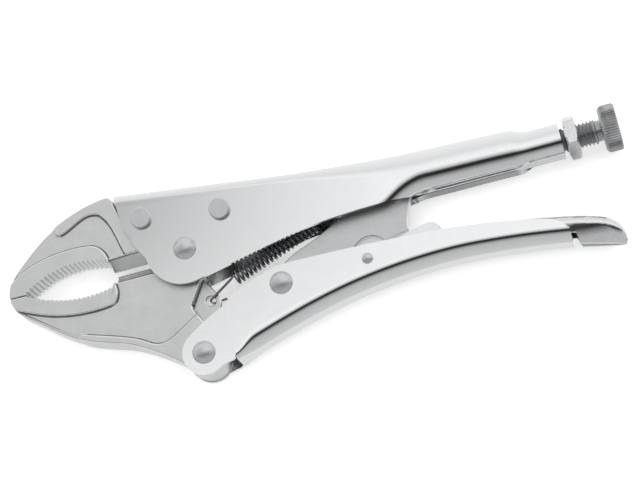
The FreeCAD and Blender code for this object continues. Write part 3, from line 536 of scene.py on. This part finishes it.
def add_spring_tab(mesh):
    """The tab lanced out of the back and bent down, with the hole for the spring's hook."""
    shape = bmesh.new()
    shape.from_mesh(mesh)
    reach = TAB_HOLE_Y - TAB_END
    hole, rim = [], []
    for k in range(TAB_SIDES):
        angle = 2 * math.pi * k / TAB_SIDES
        up, out = math.cos(angle), math.sin(angle)
        edge = min(TAB_HALF / max(abs(out), 0.01), TAB_HALF / max(up, 0.01),
                   reach / max(-up, 0.01))
        for ring, distance in ((hole, TAB_HOLE), (rim, edge)):
            ring.append(shape.verts.new(place(TAB_X, TAB_HOLE_Y + distance * up,
                                              distance * out)))
    for k in range(TAB_SIDES):
        shape.faces.new((hole[k - 1], hole[k], rim[k], rim[k - 1]))
    level = TAB_HOLE_Y + TAB_HALF
    top = sorted((v for v in rim if abs(v.co.y - place(0, level).y) < 0.02 * MM),
                 key=lambda v: v.co.z)
    root = [shape.verts.new(place(TAB_X, TAB_ROOT, side * TAB_HALF)) for side in (1, -1)]
    shape.faces.new(top + root)
    new = shape.faces[:][-TAB_SIDES - 1:]
    bmesh.ops.recalc_face_normals(shape, faces=new)
    if sum(f.normal.x for f in new) < 0:
        bmesh.ops.reverse_faces(shape, faces=new)
    shape.to_mesh(mesh)
    shape.free()


def give_gauge(piece):
    """Thickens a skin inwards and rounds the sheared edges."""
    gauge = piece.modifiers.new("gauge", "SOLIDIFY")
    gauge.thickness, gauge.offset, gauge.use_even_offset = GAUGE * MM, -1.0, True
    edge = piece.modifiers.new("edge", "BEVEL")
    edge.width, edge.segments, edge.limit_method = EDGE_ROUND * MM, 3, "ANGLE"
    edge.angle_limit, edge.harden_normals = math.radians(50), True


def spaced(*spans):
    """Stations along x: (start, end, count) runs joined end to end."""
    stations = [spans[0][0]]
    for start, end, count in spans:
        stations += [start + (end - start) * (i + 1) / count for i in range(count)]
    return stations


def make_handles():
    """Both pressings: the lower one with its two ears, the upper one with its spring tab."""
    first, last = [math.radians(turn) for turn in EAR_TURN]
    ear = list(EAR_BELOW)
    for k in range(EAR_STEPS + 1):
        turn = first + (last - first) * k / EAR_STEPS
        ear.append((EAR_CENTRE[0] + EAR_RADIUS * math.cos(turn),
                    EAR_CENTRE[1] + EAR_RADIUS * math.sin(turn)))
    ear += EAR_ABOVE
    mesh = pressed_sheet("lower_pressing", lower_column,
                         spaced((LOWER_FROM, LOWER_TO, LOWER_STATIONS)), ear=ear)
    give_gauge(link_piece("lower_handle_pressing", mesh, "plated_handle",
                          "lower_handle_group", "lower_handle"))

    window_front, window_rear = place(TAB_X, WINDOW_ABOVE), place(WINDOW_TO, WINDOW_ABOVE)

    def in_window(a, b):
        return (window_front.x < (a.x + b.x) / 2 < window_rear.x and a.y > window_front.y
                and abs((a.z + b.z) / 2 - JAW_PIVOT.z) < TAB_HALF * MM)
    mesh = pressed_sheet("upper_pressing", upper_column, spaced(*UPPER_STATIONS),
                         window=in_window)
    add_spring_tab(mesh)
    give_gauge(link_piece("upper_handle_pressing", mesh, "plated_handle",
                          "upper_handle_group", "upper_handle"))


# ------------------------------------------------------------ jaw spring
COIL_START, COIL_END = place(15.7, -14.4), place(51.7, -1.7)
LUG_HOLE, TAB_HOOK = place(4.3, -21.5), place(60.0, 1.9)
COIL_TURNS, COIL_STEPS, COIL_RADIUS, WIRE_RADIUS = 20, 24, 2.75, 0.47
HOOK_LIFT, FRONT_HOOK_BEND, REAR_HOOK_BEND = 3.05, 1.2, 0.8


def make_spring():
    """Wound wire with a hook through the jaw's lug and one through the handle's tab."""
    along = (COIL_END - COIL_START).normalized()
    up = Vector((0, 0, 1))
    side = along.cross(up)
    lift = up * HOOK_LIFT * MM
    coil = []
    for i in range(COIL_TURNS * COIL_STEPS + 1):
        angle = 2 * math.pi * i / COIL_STEPS
        share = i / (COIL_TURNS * COIL_STEPS)
        coil.append(COIL_START.lerp(COIL_END, share)
                    + (up * math.cos(angle) + side * math.sin(angle)) * COIL_RADIUS * MM)
    front = rounded([LUG_HOLE + Vector((6.0, 0.6, 0)) * MM - lift, LUG_HOLE - lift,
                     LUG_HOLE + lift, COIL_START - along * 0.6 * MM + lift,
                     COIL_START + (up - side * 0.35) * COIL_RADIUS * MM],
                    FRONT_HOOK_BEND * MM)
    rear = rounded([coil[-1] + (along + side * 0.2) * 0.8 * MM, place(56.0, 0.6),
                    TAB_HOOK - along * MM, TAB_HOOK + Vector((3.0, 0, 0)) * MM,
                    TAB_HOOK + Vector((3.6, 3.0, 0)) * MM], REAR_HOOK_BEND * MM)
    mesh = tube("coil_spring", front + coil[2:] + rear, WIRE_RADIUS * MM)
    spring = link_piece("jaw_coil_spring", mesh, "spring_wire", None, "jaw_spring")
    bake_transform(spring)


# ------------------------------------------------------------ screw, knob and nut
SCREW_AXIS = place(0, 5.0)
THREAD_PITCH, THREAD_DEPTH, THREAD_RADIUS = 1.5, 0.9, 5.0
THREAD_FROM, THREAD_TO, RINGS_FROM, RINGS_LENGTH = 95.9, 166.9, 96.1, 71.0
RINGS_PER_TURN, FADE_IN, FADE_OUT = 10, 1.5, 1.0
CREST, FLANK = 0.14, 0.72
SCREW_TIP = [(95.1, 0), (95.1, 2.6), (95.1, 3.8)]
SCREW_NECK = [(167.2, 4.2), (168.2, 4.12), (169.1, 4.2), (169.1, 3.0), (175.2, 3.0),
              (175.2, 0)]
KNURL_TEETH, KNURL_DEPTH, KNURL_ROUND = 56, 0.42, 0.8
KNURL_FROM, KNURL_TO, KNURL_FOOT = 169.9, 175.8, 8.6
KNOB_PROFILE = [(175.3, 0), (175.3, 3.05), (169.2, 3.05), (169.2, 5.2), (169.35, 5.4),
                (169.35, 7.7), (169.25, 8.0), (169.6, 8.45), (170.35, 9.15), (170.45, 9.2),
                (170.75, 9.4), (172.7, 9.4), (175.3, 9.4), (175.6, 9.2), (175.7, 9.15),
                (176.0, 8.8), (176.15, 8.5), (176.2, 8.2), (176.2, 2.4), (175.9, 1.9),
                (175.75, 0)]
NUT_FLATS, NUT_TURN, NUT_FROM, NUT_TO, NUT_RINGS = 16.0, -5.0, 154.9, 159.9, 16
NUT_BORE, NUT_MOUTH, NUT_FACE, NUT_PROUD = 5.08, 5.6, 7.0, 0.6
NUT_INNER, NUT_CHAMFER, CHAMFER_SLOPE, NUT_CORNER = 0.45, 0.485, 1.6, 0.571
SCREW_SIDES, NUT_SIDES, KNURL_SIDES = 40, 144, 8


def thread_radius(x, r, angle):
    """The radius of the rolled thread, fading out at the tip and at the neck."""
    if r < THREAD_RADIUS:
        return r
    phase = (x / THREAD_PITCH - angle / (2 * math.pi)) % 1.0
    rise = min(max((abs(phase - 0.5) * 2 - CREST) / FLANK, 0.0), 1.0)
    fade = (min(max((x - THREAD_FROM) / FADE_IN, 0.0), 1.0)
            * min(max((THREAD_TO - x) / FADE_OUT, 0.0), 1.0))
    return r - THREAD_DEPTH * rise * fade


def knurl_radius(x, r, angle):
    """Straight knurling: rounded ridges round the drum, none on the smooth rims."""
    if not KNURL_FROM <= x <= KNURL_TO or r < KNURL_FOOT:
        return r
    return r - KNURL_DEPTH * (0.5 - 0.5 * math.cos(KNURL_TEETH * angle)) ** KNURL_ROUND


def nut_radius(x, r, angle):
    """A hexagon with its corners turned back at both faces."""
    if r < NUT_FLATS * NUT_INNER:
        return r
    turn = (angle - math.radians(NUT_TURN)) % (math.pi / 3) - math.pi / 6
    depth = min(x - NUT_FROM, NUT_TO - x)
    return min(NUT_FLATS / 2 / math.cos(turn),
               NUT_FLATS * NUT_CHAMFER + depth * CHAMFER_SLOPE, NUT_FLATS * NUT_CORNER)


def make_screw_parts():
    """The screw with its rolled thread, the knob on its end and the nut on its thread."""
    step = THREAD_PITCH / RINGS_PER_TURN
    thread = [(RINGS_FROM + step * i, THREAD_RADIUS) for i in range(int(RINGS_LENGTH / step))]
    link_piece("threaded_adjusting_screw",
               turned("rolled_thread", SCREW_AXIS, SCREW_TIP + thread + SCREW_NECK,
                      SCREW_SIDES, thread_radius, 50),
               "screw_steel", "adjusting_screw", "adjusting_screw")
    link_piece("knurled_thumb_knob",
               turned("straight_knurl", SCREW_AXIS, KNOB_PROFILE, KNURL_TEETH * KNURL_SIDES,
                      knurl_radius, 50),
               "knob_steel", "knurled_knob", "knurled_knob")
    flats = [(NUT_FROM + (NUT_TO - NUT_FROM) * i / NUT_RINGS, NUT_FLATS * NUT_PROUD)
             for i in range(NUT_RINGS + 1)]
    profile = ([(NUT_FROM, NUT_BORE), (NUT_FROM, NUT_FACE)] + flats
               + [(NUT_TO, NUT_FACE), (NUT_TO, NUT_MOUTH), (NUT_TO - 0.5, NUT_BORE),
                  (NUT_FROM, NUT_BORE)])
    link_piece("hexagon_lock_nut",
               turned("hexagon", SCREW_AXIS, profile, NUT_SIDES, nut_radius, 22),
               "nut_steel", "lock_nut", "lock_nut")


# ------------------------------------------------------------ release lever
THUMB_FROM, THUMB_RUN, THUMB_ROUND, THUMB_FLAT = 140.0, 10.0, 16.0, 1.0
THUMB_TOP = [(130.0, -22.4), (140.0, -24.1), (150.0, -26.2), (158.0, -27.4),
             (170.0, -28.4)]
LEVEL_CUTS, LEVEL_FROM, LEVEL_GAP, CROSS_CUTS = 19, -23.0, 0.85, 12


def cut(shape, spot, direction):
    """Adds a row of edges where a plane crosses the shape."""
    geometry = shape.verts[:] + shape.edges[:] + shape.faces[:]
    bmesh.ops.bisect_plane(shape, geom=geometry, plane_co=spot, plane_no=direction)


def make_lever():
    """The release lever, whose cheeks curl under along its thumb tail."""
    shape = cleaned("release_lever")
    for k in range(LEVEL_CUTS):
        cut(shape, place(THUMB_FROM, LEVEL_FROM - LEVEL_GAP * (k + 1)), (0, 1, 0))
    for k in range(CROSS_CUTS):
        cut(shape, place(THUMB_FROM + k, 0), (1, 0, 0))
    for vert in shape.verts:
        x, y = (vert.co.x - JAW_PIVOT.x) / MM, (vert.co.y - JAW_PIVOT.y) / MM
        depth = max(0.0, along_curve(THUMB_TOP, x) - y - THUMB_FLAT)
        drop = THUMB_ROUND - math.sqrt(max(THUMB_ROUND ** 2 - depth ** 2, 1.0))
        side = vert.co.z - JAW_PIVOT.z
        vert.co.z -= math.copysign(drop * MM * ease((x - THUMB_FROM) / THUMB_RUN), side)
    link_piece("release_lever_pressing", mesh_of("lever_pressing", shape, 35),
               "plated_lever", "release_lever", "release_lever")


make_handles()
make_spring()
make_lever()
make_screw_parts()
# The forgings, with how far in mm the barrel has rounded their edges.
for node, slot, body, edge in (
        ("upper_jaw", "forged_jaw", "upper_handle_group", 0.55),
        ("lower_jaw", "forged_jaw", "lower_jaw", 0.55),
        ("toggle_link", "forged_link", "toggle_link", 0.35)):
    forging = link_piece(node + "_forging", softened(node, edge), slot, body, node)
    # Slot 1: the rounded outer edges' painted highlight tone.
    forging.data.materials.append(BURNISHED_EDGE_PAINTED_HIGHLIGHT)
    # Slot 2: the inner corners' painted shade tone.
    forging.data.materials.append(PAINTED_CORNER_SHADE)
    flatten_shading(forging)


# ------------------------------------------------------------ studio
FLOOR_REACH, FLOOR_GLOW, FIBRE_SIZE = 3.0, 0.35, 40.0
# The room's tone by tilt, in degrees from overhead towards -Y: -90 is the horizon at +Y and
# 180 is straight down.  The strip from 11 to 25 is the dark gap between two soft ceilings.
ROOM_TONES = [(-180, 1.0), (-90, 0.9), (-50, 0.8), (-25, 1.0), (-9, 1.0), (7, 0.4),
              (11, 0.02), (25, 0.02), (32, 0.22), (48, 0.5), (65, 0.54), (105, 0.6),
              (140, 0.62), (180, 0.85)]
# A grey card hung over the jaws' side of the room: where it starts and is whole, along the
# direction's X and at its two edges in tilt, and the room's strength off it and on it.
CARD_SIDE, CARD_EDGE, CARD_REAR = (-0.075, -0.155), (-13.4, -15.2), (-50.0, -32.0)
OPEN_STRENGTH, CARD_STRENGTH = 1.04, 0.34
SOFTBOX_SPOT, SOFTBOX_SIZE, SOFTBOX_POWER = (0.1, 0.2, 1.9), 2.6, 40.0


def make_floor():
    """A pale sheet under the tool, which glows faintly and which metal doesn't mirror."""
    mesh = bpy.data.meshes.new("floor")
    mesh.from_pydata([(-FLOOR_REACH, -FLOOR_REACH, 0), (FLOOR_REACH, -FLOOR_REACH, 0),
                      (FLOOR_REACH, FLOOR_REACH, 0), (-FLOOR_REACH, FLOOR_REACH, 0)],
                     [], [(0, 1, 2, 3)])
    floor = bpy.data.objects.new("floor", mesh)
    bpy.context.scene.collection.objects.link(floor)
    # Uncoated white paper from a roll: matt, with no highlight and a barely uneven tone.
    paper = bpy.data.materials.new("white_studio_paper")
    paper.use_nodes = True
    tree = paper.node_tree
    tree.nodes.clear()
    fibre = add(tree, "TexNoise", {"Vector": add(tree, "TexCoord").outputs["Object"],
                                   "Scale": 1 / (FIBRE_SIZE * MM)})
    tone = add(tree, "ValToRGB", {"Fac": fibre.outputs[0]},
               stops=[(0.3, "#F9F9F9"), (0.7, "#FBFBFB")])
    surface = add(tree, "BsdfPrincipled", {"Base Color": tone.outputs[0], "Roughness": 0.9,
                                           "Specular IOR Level": 0.0,
                                           "Emission Color": tone.outputs[0],
                                           "Emission Strength": FLOOR_GLOW})
    add(tree, "OutputMaterial", {"Surface": surface.outputs[0]})
    mesh.materials.append(paper)
    floor.visible_glossy = False


def make_room():
    """Soft light all round, with a dark gap overhead and a card that metal mirrors."""
    world = bpy.data.worlds.new("studio")
    bpy.context.scene.world = world
    world.use_nodes = True
    tree = world.node_tree
    tree.nodes.clear()
    way = add(tree, "SeparateXYZ", {0: add(tree, "TexCoord").outputs["Generated"]})
    back = add(tree, "Math", {0: way.outputs["Y"], 1: -1.0}, operation="MULTIPLY")
    tilt = add(tree, "Math", {0: back.outputs[0], 1: way.outputs["Z"]}, operation="ARCTAN2")
    share = add(tree, "MapRange", {"Value": tilt.outputs[0], "From Min": -math.pi,
                                   "From Max": math.pi})
    tones = add(tree, "ValToRGB", {"Fac": share.outputs[0]}, stops=[
        ((degrees + 180) / 360, tone) for degrees, tone in ROOM_TONES])
    side = add(tree, "MapRange", {"Value": way.outputs["X"], "From Min": CARD_SIDE[0],
                                  "From Max": CARD_SIDE[1]})
    edge, rear = [add(tree, "MapRange", {"Value": tilt.outputs[0],
                                         "From Min": math.radians(start),
                                         "From Max": math.radians(whole)})
                  for start, whole in (CARD_EDGE, CARD_REAR)]
    band = add(tree, "Math", {0: edge.outputs[0], 1: rear.outputs[0]},
               operation="MULTIPLY")
    card = add(tree, "Math", {0: side.outputs[0], 1: band.outputs[0]},
               operation="MULTIPLY")
    strength = add(tree, "MapRange", {"Value": card.outputs[0], "To Min": OPEN_STRENGTH,
                                      "To Max": CARD_STRENGTH})
    light = add(tree, "Background", {"Color": tones.outputs[0],
                                     "Strength": strength.outputs[0]})
    add(tree, "OutputWorld", {"Surface": light.outputs[0]})


def add_softbox(name, spot, aim, wide, high, power):
    """A soft rectangular lamp at spot, facing aim."""
    lamp = bpy.data.lights.new(name, "AREA")
    lamp.shape = "RECTANGLE"
    lamp.size, lamp.size_y, lamp.energy = wide, high, power
    holder = bpy.data.objects.new(name, lamp)
    holder.location = spot
    holder.rotation_mode = "QUATERNION"
    holder.rotation_quaternion = (Vector(aim) - Vector(spot)).to_track_quat("-Z", "Y")
    holder.visible_glossy = False
    bpy.context.scene.collection.objects.link(holder)


CAMERA_RIGHT = Vector((0.9619, -0.2285, -0.1500))
CAMERA_AWAY = Vector((0.0909, -0.2503, 0.9639))
CAMERA_AIM, CAMERA_DISTANCE = Vector((1.05, -0.09, 22.7)) * MM, 1.2
SENSOR_WIDTH, FOCAL_LENGTH = 36.0, 173.08


def make_camera():
    """A long lens high above the near cheek, tilted as one looks down at a bench."""
    away = CAMERA_AWAY.normalized()
    up = away.cross(CAMERA_RIGHT.normalized()).normalized()
    right = up.cross(away)
    eye = CAMERA_AIM + away * CAMERA_DISTANCE
    lens = bpy.data.cameras.new("studio_camera")
    lens.sensor_width, lens.lens = SENSOR_WIDTH, FOCAL_LENGTH
    camera = bpy.data.objects.new("studio_camera", lens)
    camera.matrix_world = Matrix((
        (right.x, up.x, away.x, eye.x), (right.y, up.y, away.y, eye.y),
        (right.z, up.z, away.z, eye.z), (0, 0, 0, 1)))
    bpy.context.scene.collection.objects.link(camera)
    bpy.context.scene.camera = camera


make_floor()
make_room()
add_softbox("overhead_softbox", SOFTBOX_SPOT, (0, 0, 0), SOFTBOX_SIZE, SOFTBOX_SIZE,
            SOFTBOX_POWER)
make_camera()
bpy.context.scene.view_settings.view_transform = "Standard"
